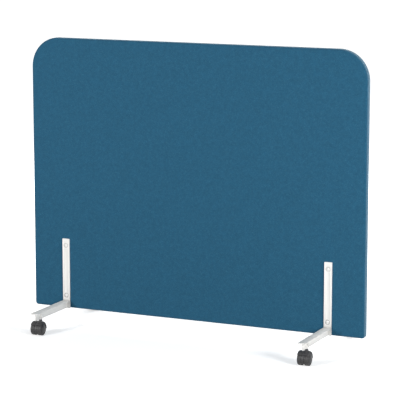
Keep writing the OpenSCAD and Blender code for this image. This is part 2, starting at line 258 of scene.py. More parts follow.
def buildSkin():
    group, given, result = openGroup(
        "pebbledSkin", {"Size": 0.001, "Roughness": 0.4, "Vary": 0.05},
        {"Height": "Float", "Roughness": "Float"})
    place = objectPlace(group)
    scale = calc(group, "DIVIDE", 1.0, given["Size"])
    fine = noiseOf(group, place, scale, *skinForm["pebbles"])
    coarse = calc(group, "MULTIPLY", scale, skinForm["patchScale"])
    broad = noiseOf(group, place, coarse, *skinForm["patches"])
    span = calc(group, "MULTIPLY", given["Vary"], 2.0)
    shift = calc(group, "MULTIPLY", calc(group, "SUBTRACT", broad, 0.5), span)
    feed(group, result["Height"], fine)
    feed(group, result["Roughness"], calc(group, "ADD", given["Roughness"], shift, clamp=True))
    return group


# floor dust and scuffs on a caster, most at the floor
grime = {"noise": (160.0, 5.0, 0.65), "from": 0.42, "full": 0.72}


def buildDust():
    group, given, result = openGroup("floorDust", {"Top": 0.04, "Amount": 0.3}, {"Mask": "Float"})
    place = objectPlace(group)
    height = calc(group, "DIVIDE", splitXyz(group, place)[2], given["Top"], clamp=True)
    low = calc(group, "SUBTRACT", 1.0, height)
    spots = noiseOf(group, place, *grime["noise"])
    spots = remap(group, spots, grime["from"], grime["full"], 0.0, 1.0)
    mask = calc(group, "MULTIPLY", low, spots)
    feed(group, result["Mask"], calc(group, "MULTIPLY", mask, given["Amount"], clamp=True))
    return group


# painted shade, grey, where a foot's arm meets its upright, and in the seats round the bolt heads
shadeFade = {"close": 0.006, "wide": 0.055, "seatEdge": 0.0006, "headEdge": 0.0008}


def buildCornerShade():
    group, given, result = openGroup("cornerShade", {
        "Corner Y": 0.020, "Corner Z": 0.090, "Bolt X": 0.555, "Low Bolt": 0.111,
        "High Bolt": 0.313, "Seat": 0.0095, "Head": 0.0062, "Close": 0.3, "Wide": 0.2, "Ring": 0.3,
    }, {"Mask": "Float"})
    x, y, z = splitXyz(group, objectPlace(group))

    def away(across, height):  # distance from the line at this height
        up = calc(group, "SUBTRACT", z, given[height])
        return lengthOf(group, joinXyz(group, across, up))

    def fading(distance, reach):
        return calc(group, "EXPONENT", calc(group, "DIVIDE", distance, -reach))

    outward = calc(group, "SUBTRACT", calc(group, "ABSOLUTE", y), given["Corner Y"])
    corner = away(outward, "Corner Z")
    mask = calc(group, "MULTIPLY", fading(corner, shadeFade["close"]), given["Close"])
    mask = calc(group, "MULTIPLY_ADD", fading(corner, shadeFade["wide"]), given["Wide"], mask)
    across = calc(group, "SUBTRACT", calc(group, "ABSOLUTE", x), given["Bolt X"])
    radius = calc(group, "MINIMUM", away(across, "Low Bolt"), away(across, "High Bolt"))
    seatEnd = calc(group, "ADD", given["Seat"], shadeFade["seatEdge"])
    headStart = calc(group, "SUBTRACT", given["Head"], shadeFade["headEdge"])
    inside = remap(group, radius, given["Seat"], seatEnd, 1.0, 0.0)
    outside = remap(group, radius, headStart, given["Head"], 0.0, 1.0)
    ring = calc(group, "MULTIPLY", calc(group, "MULTIPLY", inside, outside), given["Ring"])
    feed(group, result["Mask"], calc(group, "ADD", mask, ring, clamp=True))
    return group


# long wood fibres along one axis
woodForm = {
    "broad": (26.0, 3.0, 0.55), "rings": 46.0, "fibres": (420.0, 4.0, 0.7),
    "ringTone": 0.22, "fibreTone": (0.5, 0.25),
}


def buildGrain():
    group, given, result = openGroup(
        "woodGrain", {"Stretch": (1.0, 1.0, 1.0)}, {"Tone": "Float", "Height": "Float"})
    drawn = nodeOut(group, "ShaderNodeVectorMath", {
        0: objectPlace(group), 1: given["Stretch"]}, operation="MULTIPLY")
    broad = noiseOf(group, drawn, *woodForm["broad"])
    rings = calc(group, "SINE", calc(group, "MULTIPLY", broad, woodForm["rings"]))
    fibres = noiseOf(group, drawn, *woodForm["fibres"])
    tone = calc(group, "MULTIPLY_ADD", fibres, *woodForm["fibreTone"])
    tone = calc(group, "MULTIPLY_ADD", rings, woodForm["ringTone"], tone)
    feed(group, result["Tone"], calc(group, "MAXIMUM", tone, 0.0))
    feed(group, result["Height"], fibres)
    return group


weave, mottle, skin = buildWeave(), buildMottle(), buildSkin()
dustAndShade, cornerShade, grain = buildDust(), buildCornerShade(), buildGrain()


# a group node has no sockets until its tree is set, so it is fed afterwards
def placeGroup(tree, group, **values):
    node = tree.nodes.new("ShaderNodeGroup")
    node.node_tree = group
    for label, value in values.items():
        feed(tree, node.inputs[label], value)
    return node.outputs


def openMaterial(name, **constants):
    material = bpy.data.materials.new(name)
    material.use_nodes = True
    tree = material.node_tree
    shader = tree.nodes["Principled BSDF"]
    for label, value in constants.items():
        shader.inputs[label.replace("_", " ")].default_value = value
    return material, tree, shader


def dress(tree, shader, colour, roughness=None):
    feed(tree, shader.inputs["Base Color"], colour)
    if roughness is not None:
        feed(tree, shader.inputs["Roughness"], roughness)


def addBump(tree, shader, height, depth, strength):
    bump = {"Height": height, "Distance": depth, "Strength": strength}
    feed(tree, shader.inputs["Normal"], nodeOut(tree, "ShaderNodeBump", bump))


def skinOn(tree, shader, size, roughness, look):  # relief of the pebbles; gives their gloss
    face = placeGroup(tree, skin, Size=size, Roughness=roughness, Vary=look["vary"])
    addBump(tree, shader, face["Height"], *look["relief"])
    return face["Roughness"]


def clouded(tree, colour, size, amount, shade=1.0):
    factor = placeGroup(tree, mottle, Size=size, Amount=amount)["Factor"]
    factor = calc(tree, "MULTIPLY", factor, shade)
    return mixColour(tree, 1.0, colour, greyOf(tree, factor), "MULTIPLY")


clothLook = {
    "deep": rgb(20, 72, 100),       # painted shade in the hollows between the yarns
    "deepHeights": (0.25, 0.75),    # of the yarns: wholly deep, and not at all
    "yarn": rgb(32, 87, 116),
    "fleck": rgb(62, 117, 141),     # the paler fibres of the melange
    "fleckTones": (0.50, 0.74),
    "pitch": 0.00115,               # yarn to yarn
    "slub": 0.5,
    "relief": (0.00028, 0.7),       # depth, strength
    "clouds": (0.011, 0.22),        # size, amount
    "turned": rgb(112, 146, 166),   # painted sheen: the cloth paler where it turns over the edge
    "turnedDepths": (0.0136, 0.0080),  # from the panel's middle: not at all, and in full
    "turnedAmount": 0.95,
    "shader": {
        "Roughness": 0.80, "Sheen_Weight": 0.40, "Sheen_Roughness": 0.35,
        "Sheen_Tint": (0.62, 0.78, 0.86, 1.0), "Specular_IOR_Level": 0.20},
}


def clothMaterial(name="tealCloth", shade=1.0):
    look = clothLook
    material, tree, shader = openMaterial(name, **look["shader"])
    yarns = placeGroup(tree, weave, Pitch=look["pitch"], Slub=look["slub"])
    melange = remap(tree, yarns["Tone"], *look["fleckTones"], 0.0, 1.0)
    colour = mixColour(tree, melange, look["yarn"], look["fleck"])
    # painted sheen where the cloth turns over the edge, by depth from the panel's middle
    depth = calc(tree, "ABSOLUTE", splitXyz(tree, objectPlace(tree))[1])
    edge = remap(tree, depth, *look["turnedDepths"], 0.0, look["turnedAmount"])
    colour = mixColour(tree, edge, colour, look["turned"])
    # painted shade where the yarns lie low
    raised = remap(tree, yarns["Height"], *look["deepHeights"], 0.0, 1.0)
    colour = mixColour(tree, raised, look["deep"], colour)
    dress(tree, shader, clouded(tree, colour, *look["clouds"], shade))
    addBump(tree, shader, yarns["Height"], *look["relief"])
    return material


paintLook = {
    "pebble": 0.0011, "vary": 0.05, "clouds": (0.05, 0.012), "relief": (0.00004, 0.6),
    # the second entry below sets the painted shade in the feet's corners and bolt seats
    "specular": 0.35, "dustAndShade": {"Close": 0.34, "Wide": 0.26, "Ring": 0.30},
}


def paintMaterial(name, colour, roughness, dustAndShadeColour=None):
    look = paintLook
    material, tree, shader = openMaterial(name, Specular_IOR_Level=look["specular"])
    gloss = skinOn(tree, shader, look["pebble"], roughness, look)
    tinted = clouded(tree, colour, *look["clouds"])
    # painted shade in the feet's corners and round the bolt heads, when its colour is given
    if dustAndShadeColour:
        mask = placeGroup(tree, cornerShade, **look["dustAndShade"])["Mask"]
        tinted = mixColour(tree, mask, tinted, dustAndShadeColour)
    dress(tree, shader, tinted, gloss)
    return material


plasticLook = {
    "vary": 0.08, "clouds": (0.012, 0.10), "relief": (0.00005, 0.6), "specular": 0.42,
    "dustAndShadeColour": rgb(150, 146, 140), "dustyRough": 0.35,
}


def plasticMaterial(name, colour, roughness, dustTop, dustAmount, pebble=0.0006):
    look = plasticLook
    material, tree, shader = openMaterial(name, Specular_IOR_Level=look["specular"])
    gloss = skinOn(tree, shader, pebble, roughness, look)
    tinted = clouded(tree, colour, *look["clouds"])
    mask = placeGroup(tree, dustAndShade, Top=dustTop, Amount=dustAmount)["Mask"]
    gloss = calc(tree, "MULTIPLY_ADD", mask, look["dustyRough"], gloss, clamp=True)
    dress(tree, shader, mixColour(tree, mask, tinted, look["dustAndShadeColour"]), gloss)
    return material


steelLook = {
    "colour": rgb(196, 198, 201), "pebble": 0.0008, "roughness": 0.34, "vary": 0.12,
    "clouds": (0.004, 0.08), "relief": (0.00003, 0.5),
}


def steelMaterial():
    look = steelLook
    material, tree, shader = openMaterial("zincSteel", Metallic=1.0)
    gloss = skinOn(tree, shader, look["pebble"], look["roughness"], look)
    dress(tree, shader, clouded(tree, look["colour"], *look["clouds"]), gloss)
    return material


timberLook = {"dark": rgb(168, 126, 82), "pale": rgb(224, 190, 142), "relief": (0.0002, 0.5)}


def timberMaterial(name, stretch):
    material, tree, shader = openMaterial(name, Roughness=0.62)
    wood = placeGroup(tree, grain, Stretch=stretch)
    dress(tree, shader, mixColour(tree, wood["Tone"], timberLook["dark"], timberLook["pale"]))
    addBump(tree, shader, wood["Height"], *timberLook["relief"])
    return material


def fibreMaterial(name, dark, pale, size, relief):
    material, tree, shader = openMaterial(name, Roughness=0.95, Sheen_Weight=0.2)
    strands = noiseOf(tree, objectPlace(tree), 1 / size, detail=6.0, rough=0.72)
    blend = remap(tree, strands, 0.3, 0.7, 0.0, 1.0)
    dress(tree, shader, mixColour(tree, blend, dark, pale))
    addBump(tree, shader, strands, relief, strength=0.8)
    return material


looks = {
    "cover_cloth": clothMaterial(),
    # the foot paint's last colour is the painted shade in its corners and bolt seats
    "foot_paint": paintMaterial("whitePowderCoat", rgb(242, 241, 238), 0.46, rgb(112, 110, 106)),
    "bolt_paint": paintMaterial("whiteBoltPaint", rgb(240, 240, 238), 0.34),
    "zinc_steel": steelMaterial(),
    "hood_plastic": plasticMaterial("hoodNylon", rgb(52, 52, 54), 0.48, 0.050, 0.08),
    "wheel_plastic": plasticMaterial("wheelNylon", rgb(43, 43, 45), 0.42, 0.050, 0.10),
    "tyre_rubber": plasticMaterial("softTread", rgb(42, 42, 44), 0.50, 0.060, 0.22, 0.0009),
    "felt": fibreMaterial("greyFelt", rgb(128, 130, 132), rgb(178, 180, 182), 0.0022, 0.0006),
    "wool_board": fibreMaterial("stoneWool", rgb(146, 140, 116), rgb(206, 202, 180), 0.004, 0.0012),
}
timberUpright = timberMaterial("uprightTimber", (1.0, 1.0, 0.06))
timberAcross = timberMaterial("crosswiseTimber", (0.06, 1.0, 1.0))
timberNodes = dict.fromkeys(("top_rail", "bottom_rail", "frame_dowels"), timberAcross)
for part in ("stile", "fixing_block", "corner_block"):
    timberNodes["left_" + part] = timberNodes["right_" + part] = timberUpright
slotOf = {entry["node"]: entry["material_slot"] for entry in frame["record"]["subparts"]}
for name, node in frame["nodes"].items():
    for materialSlot in node.material_slots:
        materialSlot.material = timberNodes.get(name) or looks[slotOf[name]]
print("stage: materials on the CAD pieces")


# the padded panel's two halves of cloth
panel = {
    "halfWidth": 0.700, "low": 0.060, "high": 1.135, "face": 0.015,
    "topRadius": 0.116, "lowRadius": 0.012, "edgeRadius": 0.008,
}
flat = {  # the face inside the rounded edge, with the radii of its corners
    "half": panel["halfWidth"] - panel["edgeRadius"],
    "low": panel["low"] + panel["edgeRadius"], "high": panel["high"] - panel["edgeRadius"],
    "topTurn": panel["topRadius"] - panel["edgeRadius"],
    "lowTurn": panel["lowRadius"] - panel["edgeRadius"],
}
stemLow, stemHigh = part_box("front_left_stem")
footPlace = {"x": 0.555, "halfBar": 0.015, "top": 0.340, "face": 0.020}
footPlace["stem"] = -((stemLow + stemHigh) / 2).y
cover = {
    "mesh": 0.0098,                # spacing of the mesh on the flat
    "fineMesh": 0.0036,            # and beside the uprights
    "fineBeside": (0.014, 0.010),  # how far that goes: towards the middle, and outwards
    "fineAtTop": (0.010, 0.014),   # below the upright's top, and above it
    "cornerSteps": (3.75, 18),     # degrees, at the top and the low corners
    "leastMesh": 0.00022,
    "fill": 0.00035,               # how far the padding swells the face
    "fillEdge": 0.05,              # and how far in from the edge
    "uneven": 0.00030,
    "waves": ((5, 1.0, 0), (14, 0.5, 9)),  # scale, share, seed added
    "press": 0.012,                # width of the dip round an upright
    "thick": 0.0010,
    "cut": (1.43, 1.105),          # one half as cut, with its turned edge
    "pucker": 0.00012,             # at the seam
    "puckerScale": 32,
    "puckerDepth": 0.008,
    "puckerSeed": 3,               # added to the half's own
    # section of the edge from the flat to the seam: outward, back from the face
    "edge": [(0.0020706, 0.0002726), (0.0040, 0.0010718), (0.0056569, 0.0023431),
             (0.0069282, 0.0040), (0.0077274, 0.0059294), (0.0080, 0.0080),
             (0.0081, 0.0100), (0.0080, 0.0120), (0.0079, 0.0132), (0.0076, 0.0140),
             (0.0071, 0.0145), (0.0066, 0.0148), (0.0062, 0.01495)],
}


def coverColumns():
    inner = footPlace["x"] - footPlace["halfBar"] - cover["fineBeside"][0]
    outer = footPlace["x"] + footPlace["halfBar"] + cover["fineBeside"][1]
    places = spread(0, inner, cover["mesh"]) + spread(inner, outer, cover["fineMesh"])
    for turn, step in zip((flat["topTurn"], flat["lowTurn"]), cover["cornerSteps"]):
        for angle in spread(0, 90, step):
            places.append(flat["half"] - turn * (1 - math.sin(math.radians(angle))))
    kept = []
    for x in sorted(places):
        if not kept or x - kept[-1] > cover["leastMesh"]:
            kept.append(x)
    kept[-1] = flat["half"]
    return [-x for x in reversed(kept[1:])] + kept


def coverRows():
    low, high = flat["low"], flat["high"]
    start, stop = footPlace["top"] - cover["fineAtTop"][0], footPlace["top"] + cover["fineAtTop"][1]
    places = spread(low, start, cover["mesh"])[:-1] + spread(start, stop, cover["fineMesh"])[:-1]
    places += spread(stop, high, cover["mesh"])
    return [(z - low) / (high - low) for z in places]


def outlineSpan(x):  # lowest and highest point of the flat at x, and the outward ways there
    turn, lowTurn = flat["topTurn"], flat["lowTurn"]
    beyondTop = abs(x) - (flat["half"] - turn)
    beyondLow = abs(x) - (flat["half"] - lowTurn)
    way = 1 if x > 0 else -1
    low, high = flat["low"], flat["high"]
    lowWay, highWay = (0.0, -1.0), (0.0, 1.0)
    if beyondTop > 0:
        rise = math.sqrt(max(0, turn * turn - beyondTop * beyondTop))
        high += rise - turn
        highWay = (way * beyondTop / turn, rise / turn)
    if beyondLow > 0:
        drop = math.sqrt(max(0, lowTurn * lowTurn - beyondLow * beyondLow))
        low += lowTurn - drop
        lowWay = (way * beyondLow / lowTurn, -drop / lowTurn)
    return low, high, lowWay, highWay


def noiseAt(x, z, scale, seed):
    return noise.noise(Vector((x * scale, z * scale, seed)))


def swell(x, z, seed):  # how far the padded face stands out at a place
    turn = flat["topTurn"]
    cornerX, cornerZ = abs(x) - (flat["half"] - turn), z - (flat["high"] - turn)
    if cornerX > 0 and cornerZ > 0:
        edge = turn - math.hypot(cornerX, cornerZ)
    else:
        edge = min(flat["half"] - abs(x), z - flat["low"], flat["high"] - z)
    aside = max(0, abs(abs(x) - footPlace["x"]) - footPlace["halfBar"])
    above = max(0, z - footPlace["top"])
    free = smoothStep(math.hypot(aside, above), 0, cover["press"])
    waves = sum(share * noiseAt(x, z, scale, seed + more) for scale, share, more in cover["waves"])
    padding = cover["fill"] + cover["uneven"] * waves
    return free * smoothStep(edge, 0, cover["fillEdge"]) * padding


def edgeLoop(columns, tall):  # once round the flat, seen from the front: bottom, right, top, left
    wide = len(columns)
    loop = [(c * tall, outlineSpan(columns[c])[2]) for c in range(wide)]
    loop += [((wide - 1) * tall + r, (1.0, 0.0)) for r in range(1, tall)]
    loop += [(c * tall + tall - 1, outlineSpan(columns[c])[3]) for c in range(wide - 2, -1, -1)]
    loop += [(r, (-1.0, 0.0)) for r in range(tall - 2, 0, -1)]
    return loop


def clothHalf(name, side, seed):  # side is -1 for the front and 1 for the rear
    columns, rows = coverColumns(), coverRows()
    verts, cut, faces = [], [], []
    for x in columns:
        low, high, lowWay, highWay = outlineSpan(x)
        for t in rows:
            z = low + t * (high - low)
            verts.append((x, side * (panel["face"] + swell(x, z, seed)), z))
            cut.append((x, z))
    tall = len(rows)
    for c in range(len(columns) - 1):
        for r in range(tall - 1):
            k = c * tall + r
            faces.append((k, k + tall, k + tall + 1, k + 1))
    loop = edgeLoop(columns, tall)
    inner = [k for k, way in loop]
    reach, back, run = 0.0, 0.0, 0.0
    for outward, depth in cover["edge"]:
        run += math.hypot(outward - reach, depth - back)
        reach, back = outward, depth
        ring = []
        for k, way in loop:
            x, z = cut[k]
            pucker = noiseAt(x, z, cover["puckerScale"], seed + cover["puckerSeed"])
            pucker *= cover["pucker"]
            out = outward + pucker * smoothStep(depth, 0, cover["puckerDepth"])
            ring.append(len(verts))
            verts.append((x + way[0] * out, side * (panel["face"] - depth), z + way[1] * out))
            cut.append((x + way[0] * run, z + way[1] * run))
        for k in range(len(loop)):
            after = (k + 1) % len(loop)
            faces.append((inner[k], ring[k], ring[after], inner[after]))
        inner = ring
    if side > 0:
        faces = [tuple(reversed(face)) for face in faces]
    piece = addObject(name, verts, faces)
    layer = piece.data.uv_layers.new(name="cutUv")
    for corner in piece.data.loops:
        layer.data[corner.index].uv = cut[corner.vertex_index]
    shadeSmooth(piece)
    modify(piece, "SOLIDIFY", thickness=cover["thick"], offset=-1)
    return paint(makePlain(piece), looks["cover_cloth"])


frontCloth = clothHalf("front_cloth", -1, 1.0)
rearCloth = clothHalf("rear_cloth", 1, 21.0)
print("stage: cloth halves", len(frontCloth.data.polygons), len(rearCloth.data.polygons))


# geometry trees: what repeats along a path, on a grid or round an axle

def openTree(name, inputs):  # every tree takes a mesh and a material, beside its own inputs
    inputs = {"Geometry": "Geometry", **inputs, "Material": "Material"}
    return openGroup(name, inputs, {"Geometry": "Geometry"}, "GeometryNodeTree")


def endTree(group, given, result, geometry):
    real = nodeOut(group, "GeometryNodeRealizeInstances", {0: geometry})
    real = nodeOut(group, "GeometryNodeSetMaterial", {
        "Geometry": real, "Material": given["Material"]})
    feed(group, result["Geometry"], real)
    return group


def randomOf(tree, low, high, seed):
    return addNode(tree, "FunctionNodeRandomValue", {
        2: low, 3: high, "Seed": seed}, data_type="FLOAT").outputs[1]


def runTree(piece, group, values):
    modifier = modify(piece, "NODES", node_group=group)
    for item in group.interface.items_tree:
        if item.item_type == "SOCKET" and item.in_out == "INPUT" and item.name in values:
            modifier[item.identifier] = values[item.name]
    return makePlain(piece)


def buildAlongPath():
    group, given, result = openTree("beadsAlongPath", {
        "Spacing": 0.003, "Size": (0.001, 0.001, 0.001), "Uneven": 0.1, "Tilt": 0.1,
        "Seed": 3, "Segments": 8})
    line = nodeOut(group, "GeometryNodeMeshToCurve", {"Mesh": given["Geometry"]})
    points = nodeOut(group, "GeometryNodeResampleCurve", {
        "Curve": line, "Length": given["Spacing"]}, mode="LENGTH")
    bead = nodeOut(group, "GeometryNodeMeshUVSphere", {
        "Segments": given["Segments"], "Rings": 5, "Radius": 0.5})
    bead = nodeOut(group, "GeometryNodeSetShadeSmooth", {"Geometry": bead})
    tangent = nodeOut(group, "GeometryNodeInputTangent")
    along = nodeOut(group, "FunctionNodeAlignRotationToVector", {"Vector": tangent}, axis="X")
    lowTilt = calc(group, "SUBTRACT", 0.0, given["Tilt"])
    tilt = randomOf(group, lowTilt, given["Tilt"], given["Seed"])
    spin = nodeOut(group, "FunctionNodeEulerToRotation", {0: joinXyz(group, 0.0, 0.0, tilt)})
    along = nodeOut(group, "FunctionNodeRotateRotation", {
        0: along, 1: spin}, rotation_space="LOCAL")
    smallest = calc(group, "SUBTRACT", 1.0, given["Uneven"])
    factor = randomOf(group, smallest, 1.0, given["Seed"])
    size = nodeOut(group, "ShaderNodeVectorMath", {
        0: given["Size"], "Scale": factor}, operation="SCALE")
    copies = nodeOut(group, "GeometryNodeInstanceOnPoints", {
        "Points": points, "Instance": bead, "Rotation": along, "Scale": size})
    return endTree(group, given, result, copies)


def buildOnGrid():
    group, given, result = openTree(
        "copiesOnGrid", {"Across": 1.0, "Up": 1.0, "Middle": (0.0, 0.0, 0.0)})
    grid = nodeOut(group, "GeometryNodeMeshGrid", {
        "Size X": given["Across"], "Size Y": given["Up"], "Vertices X": 2, "Vertices Y": 2})
    standing = nodeOut(group, "GeometryNodeTransform", {
        "Geometry": grid, "Translation": given["Middle"], "Rotation": (math.pi / 2, 0.0, 0.0)})
    copies = nodeOut(group, "GeometryNodeInstanceOnPoints", {
        "Points": standing, "Instance": given["Geometry"]})
    return endTree(group, given, result, copies)


def buildSpokes():  # ribs in a wheel's cup, round the X axis
    group, given, result = openTree("ribsRoundAxle", {
        "Count": 6, "Inner": 0.006, "Outer": 0.018, "Start": 0.0065, "End": 0.0155,
        "Thickness": 0.0016})
    long = calc(group, "SUBTRACT", given["Outer"], given["Inner"])
    deep = calc(group, "SUBTRACT", given["End"], given["Start"])
    radius = calc(group, "MULTIPLY", calc(group, "ADD", given["Outer"], given["Inner"]), 0.5)
    depth = calc(group, "MULTIPLY", calc(group, "ADD", given["End"], given["Start"]), 0.5)
    size = joinXyz(group, deep, given["Thickness"], long)
    rib = nodeOut(group, "GeometryNodeMeshCube", {"Size": size})
    rib = nodeOut(group, "GeometryNodeTransform", {
        "Geometry": rib, "Translation": joinXyz(group, depth, 0.0, radius)})
    points = nodeOut(group, "GeometryNodeMeshLine", {
        "Count": given["Count"], "Offset": (0.0, 0.0, 0.0)})
    number = nodeOut(group, "GeometryNodeInputIndex")
    angle = calc(group, "DIVIDE", calc(group, "MULTIPLY", number, 2 * math.pi), given["Count"])
    turn = nodeOut(group, "FunctionNodeEulerToRotation", {0: joinXyz(group, angle, 0.0, 0.0)})
    copies = nodeOut(group, "GeometryNodeInstanceOnPoints", {
        "Points": points, "Instance": rib, "Rotation": turn})
    joined = group.nodes.new("GeometryNodeJoinGeometry")
    group.links.new(given["Geometry"], joined.inputs[0])
    group.links.new(copies, joined.inputs[0])
    return endTree(group, given, result, joined.outputs[0])


beadsAlongPath, copiesOnGrid, ribsRoundAxle = buildAlongPath(), buildOnGrid(), buildSpokes()


# the seam that closes the cover: short stitches across the valley, all round
seam = {
    "sunk": 0.0012, "shade": 0.8,
    "stitches": {"Spacing": 0.0042, "Size": (0.0007, 0.0030, 0.0006), "Uneven": 0.2,
                 "Tilt": 0.22, "Seed": 5, "Segments": 6},
}


def seamLine():
    out = panel["edgeRadius"] - seam["sunk"]
    below, above = [], []
    for x in coverColumns():
        low, high, lowWay, highWay = outlineSpan(x)
        below.append((x + lowWay[0] * out, 0.0, low + lowWay[1] * out))
        above.append((x + highWay[0] * out, 0.0, high + highWay[1] * out))
    return below + above[::-1]


stitchPoints = seamLine()
stitchEdges = [(k, (k + 1) % len(stitchPoints)) for k in range(len(stitchPoints))]
seamStitches = addObject("seam_stitches", stitchPoints, edges=stitchEdges)
runTree(seamStitches, beadsAlongPath, {
    **seam["stitches"], "Material": clothMaterial("seamThread", seam["shade"])})
print("stage: seam stitches", len(seamStitches.data.polygons))


# screws from the front and sleeve nuts from the rear, two to each pair of feet
fastener = {
    "head": 0.00625, "headRise": 0.0028, "rim": 0.0008, "socket": 0.0025, "socketDepth": 0.0016,
    "socketEdge": (0.0003, 0.00002),  # width and drop of the broken edge round the socket
    "domeStart": 0.0008, "domeEnd": 0.0002, "domeStep": 0.0007,
    "arris": 0.0001, "tip": 0.0005,  # broken edges of the head and of the shank's end
    "shank": 0.003, "shankLength": 0.022, "barrel": 0.0045, "barrelLength": 0.0345,
    "low": 0.111, "high": 0.313, "face": 0.018, "segments": 48, "sharp": 32,
}


def repair(piece, closer, level=None):  # doubles merged, flat faces made whole, normals outward
    shell = bmesh.new()
    shell.from_mesh(piece.data)
    bmesh.ops.remove_doubles(shell, verts=shell.verts, dist=closer)
    if level:
        bmesh.ops.dissolve_limit(
            shell, angle_limit=math.radians(level), verts=shell.verts, edges=shell.edges)
    bmesh.ops.recalc_face_normals(shell, faces=shell.faces)
    shell.to_mesh(piece.data)
    shell.free()


def lathe(name, profile, segments):
    # a closed solid round the X axis from (radius, along, sides); with sides 6 a ring is a hexagon
    verts, rings, faces = [], [], []
    for radius, along, sides in profile:
        if radius == 0:
            rings.append([len(verts)])
            verts.append((along, 0.0, 0.0))
            continue
        ring = []
        for i in range(segments):
            angle = 2 * math.pi * i / segments
            reach = radius
            if sides:
                sector = math.pi / sides
                reach = radius * math.cos(sector) / math.cos(angle % (2 * sector) - sector)
            ring.append(len(verts))
            verts.append((along, reach * math.cos(angle), reach * math.sin(angle)))
        rings.append(ring)
    for first, second in zip(rings, rings[1:]):
        for i in range(segments):
            j = (i + 1) % segments
            if len(first) == 1:
                faces.append((first[0], second[i], second[j]))
            elif len(second) == 1:
                faces.append((first[i], second[0], first[j]))
            else:
                faces.append((first[i], second[i], second[j], first[j]))
    piece = addObject(name, verts, faces)
    repair(piece, closer=1e-7)
    return piece


def roundProfile(points, steps=4):
    # points are (radius, along, rounding), and each inner corner becomes such an arc
    made = [points[0][:2]]
    for before, here, after in zip(points, points[1:], points[2:]):
        corner = Vector(here[:2])
        one, other = Vector(before[:2]) - corner, Vector(after[:2]) - corner
        angle = one.angle(other, math.pi)
        if here[2] <= 0 or angle > math.radians(176):  # sharp, or nearly straight
            made.append(tuple(corner))
            continue
        room = 0.48 * min(one.length, other.length)  # so two arcs never meet
        cutBack = min(here[2] / math.tan(angle / 2), room)
        radius = cutBack * math.tan(angle / 2)
        one, other = one.normalized(), other.normalized()
        centre = corner + (one + other).normalized() * math.hypot(radius, cutBack)
        start, end = corner + one * cutBack - centre, corner + other * cutBack - centre
        for k in range(steps + 1):
            way = (start * (1 - k / steps) + end * (k / steps)).normalized()
            made.append(tuple(centre + way * radius))
    made.append(points[-1][:2])
    return [(radius, along, 0) for radius, along in made]


def fastenerSolid(name, bodyRadius, bodyLength):
    f = fastener
    top, arris, tip = f["headRise"], f["arris"], f["tip"]
    rise = top - f["rim"]
    ball = (f["head"] ** 2 + rise ** 2) / (2 * rise)
    width, drop = f["socketEdge"]
    profile = [(0, top - f["socketDepth"], 0), (f["socket"], top - f["socketDepth"], 6),
               (f["socket"], top - width, 6), (f["socket"] + width, top - drop, 0)]
    for radius in spread(f["socket"] + f["domeStart"], f["head"] - f["domeEnd"], f["domeStep"]):
        profile.append((radius, top - ball + math.sqrt(ball ** 2 - radius ** 2), 0))
    profile += [(f["head"], f["rim"] - arris, 0), (f["head"], arris, 0), (f["head"] - arris, 0, 0)]
    profile += [(bodyRadius, 0, 0), (bodyRadius, tip - bodyLength, 0),
                (bodyRadius - tip, -bodyLength, 0), (0, -bodyLength, 0)]
    return shadeSmooth(lathe(name, profile, f["segments"]), f["sharp"])


def placeFasteners(name, bodyRadius, bodyLength, side):
    f = fastener
    piece = fastenerSolid(name, bodyRadius, bodyLength)
    piece.data.transform(Matrix.Rotation(side * math.pi / 2, 4, "Z"))
    return runTree(piece, copiesOnGrid, {
        "Across": 2 * footPlace["x"], "Up": f["high"] - f["low"],
        "Middle": (0.0, side * f["face"], (f["low"] + f["high"]) / 2),
        "Material": looks["bolt_paint"]})


screws = placeFasteners("socket_screws", fastener["shank"], fastener["shankLength"], -1)
nuts = placeFasteners("sleeve_nut_pieces", fastener["barrel"], fastener["barrelLength"], 1)
print("stage: screws and sleeve nuts", len(screws.data.polygons))


# the welded feet: the CAD solid with its arrises broken, and the weld beads
footLook = {"arris": 0.0006, "arrisAngle": 35, "arrisSegments": 2, "sharp": 40}
weld = {
    "beads": {"Spacing": 0.0013, "Size": (0.0022, 0.0034, 0.0030), "Uneven": 0.12,
              "Tilt": 0.1, "Seed": 11, "Segments": 8},
    "step": 0.004, "flangeTop": 0.0900, "flangeInset": 0.001,  # over the arm, against the upright
    "webSide": 0.002, "webFrom": 0.0610, "webTo": 0.0825,      # down both sides of the arm's web
    "bossRadius": 0.008, "bossTop": 0.0860, "bossTurn": 150, "bossStep": 10,
}
corners = {
    "front_left": (-1, 0), "front_right": (1, 0), "rear_left": (-1, 180), "rear_right": (1, 180),
}


def cleanCopy(node, name):  # a CAD mesh is loose triangles, so its copy is merged
    piece = linkObject(name, frame["nodes"][node].data.copy())
    repair(piece, closer=2e-6, level=0.6)
    piece.data.name = name
    return piece


def paintedFoot(corner):
    piece = cleanCopy(corner + "_foot", corner + "_painted_foot")
    modify(piece, "BEVEL", width=footLook["arris"], segments=footLook["arrisSegments"],
           limit_method="ANGLE", angle_limit=math.radians(footLook["arrisAngle"]))
    shadeSmooth(makePlain(piece), footLook["sharp"])
    return paint(piece, looks["foot_paint"])


def cornerMatrix(corner):  # from a corner's own place, drawn for the front, to where it is
    side, turn = corners[corner]
    there = Matrix.Translation((side * footPlace["x"], 0, 0))
    return there @ Matrix.Rotation(math.radians(turn), 4, "Z")


def weldLines():
    w = weld
    wall, edge = -footPlace["face"], footPlace["halfBar"] - w["flangeInset"]
    lines = [[(x, wall, w["flangeTop"]) for x in spread(-edge, edge, w["step"])]]
    for x in (-w["webSide"], w["webSide"]):
        lines.append([(x, wall, z) for z in spread(w["webFrom"], w["webTo"], w["step"])])
    ring = [math.radians(a) for a in spread(-w["bossTurn"], w["bossTurn"], w["bossStep"])]
    lines.append([(w["bossRadius"] * math.sin(a),
                   -footPlace["stem"] - w["bossRadius"] * math.cos(a), w["bossTop"]) for a in ring])
    verts, edges = [], []
    for corner in corners:
        toCorner = cornerMatrix(corner)
        for line in lines:
            start = len(verts)
            verts += [toCorner @ Vector(point) for point in line]
            edges += [(start + k, start + k + 1) for k in range(len(line) - 1)]
    return verts, edges


